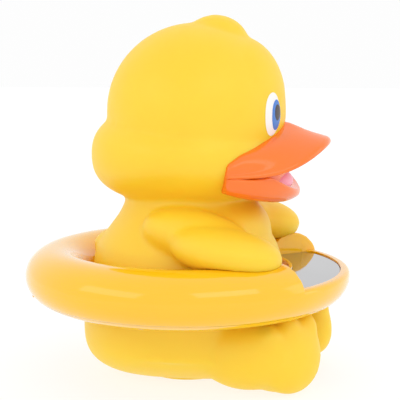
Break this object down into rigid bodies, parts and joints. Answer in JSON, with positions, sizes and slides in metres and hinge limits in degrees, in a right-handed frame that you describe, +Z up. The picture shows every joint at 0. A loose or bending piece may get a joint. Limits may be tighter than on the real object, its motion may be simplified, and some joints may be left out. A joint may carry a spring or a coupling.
{
  "type": "floating bath thermometer",
  "caption": "Duck sitting in a swim ring that floats in a bath or pool and shows the water's temperature on a display sunk in the ring's front.",
  "frame": {"origin": "on the ground, straight below the centre of the ring", "axes": "+Z up; the duck looks along -Y; its left side is at +X"},
  "size_m": [0.0978, 0.0978, 0.1073],
  "materials": {
    "soft_vinyl": "satin",
    "ring_plastic": "gloss",
    "orange_plastic": "gloss",
    "pink_plastic": "satin",
    "eye_enamel": "gloss",
    "frame_plastic": "matt",
    "window": "mirror gloss",
    "display": "gloss",
    "contact_rubber": "matt",
    "circuit_board": "solder mask",
    "chip": "matt",
    "seal_rubber": "matt",
    "steel": "bright",
    "plated_contact": "plated",
    "ballast": "raw",
    "wire": "satin"
  },
  "bodies": {
    "float": {"duck_body": "soft_vinyl", "beak": "orange_plastic", "tongue": "pink_plastic", "eye_right": "eye_enamel", "eye_left": "eye_enamel", "neck_plate": "frame_plastic", "seat_body": "soft_vinyl", "seat_plate": "frame_plastic", "body_screw_1": "steel", "body_screw_2": "steel", "body_screw_3": "steel", "body_screw_4": "steel", "base_plug": "soft_vinyl", "ballast_weight": "ballast", "ring_upper_shell": "ring_plastic", "ring_bottom_cover": "ring_plastic", "ring_seal_outer": "seal_rubber", "ring_seal_inner": "seal_rubber", "ring_screw_1": "steel", "ring_screw_2": "steel", "ring_screw_3": "steel", "ring_screw_4": "steel", "ring_screw_5": "steel", "ring_screw_6": "steel", "display_window": "window", "lcd_panel": "display", "contact_strip_front": "contact_rubber", "contact_strip_rear": "contact_rubber", "circuit_board": "circuit_board", "controller_chip": "chip", "board_screw_1": "steel", "board_screw_2": "steel", "switch_dome": "steel", "temperature_probe": "steel", "water_contact_1": "plated_contact", "water_contact_2": "plated_contact", "battery_cell_1": "steel", "battery_cell_2": "steel", "battery_contact_positive": "steel", "battery_contact_negative": "steel", "battery_lead_positive": "wire", "battery_lead_negative": "wire"},
    "battery_door": {"battery_door": "ring_plastic", "door_seal": "seal_rubber", "door_contact": "steel"},
    "door_screw_1": {"door_screw_1": "steel"},
    "door_screw_2": {"door_screw_2": "steel"},
    "unit_button": {"unit_button": "seal_rubber"}
  },
  "joints": [
    {"name": "battery_door_slide", "type": "slide", "parent": "float", "child": "battery_door", "axis": [0, 0, -1], "range_m": [0, 0.012]},
    {"name": "door_screw_1_turn", "type": "hinge", "parent": "battery_door", "child": "door_screw_1", "pos_m": [0.01549, 0.03666, 0.024], "axis": [0, 0, 1], "range_deg": [-1440, 0]},
    {"name": "door_screw_2_turn", "type": "hinge", "parent": "battery_door", "child": "door_screw_2", "pos_m": [-0.01549, 0.03666, 0.024], "axis": [0, 0, 1], "range_deg": [-1440, 0]},
    {"name": "unit_button_press", "type": "slide", "parent": "float", "child": "unit_button", "axis": [0, 0, 1], "range_m": [0, 0.0003], "stiffness_N_per_m": 800}
  ]
}
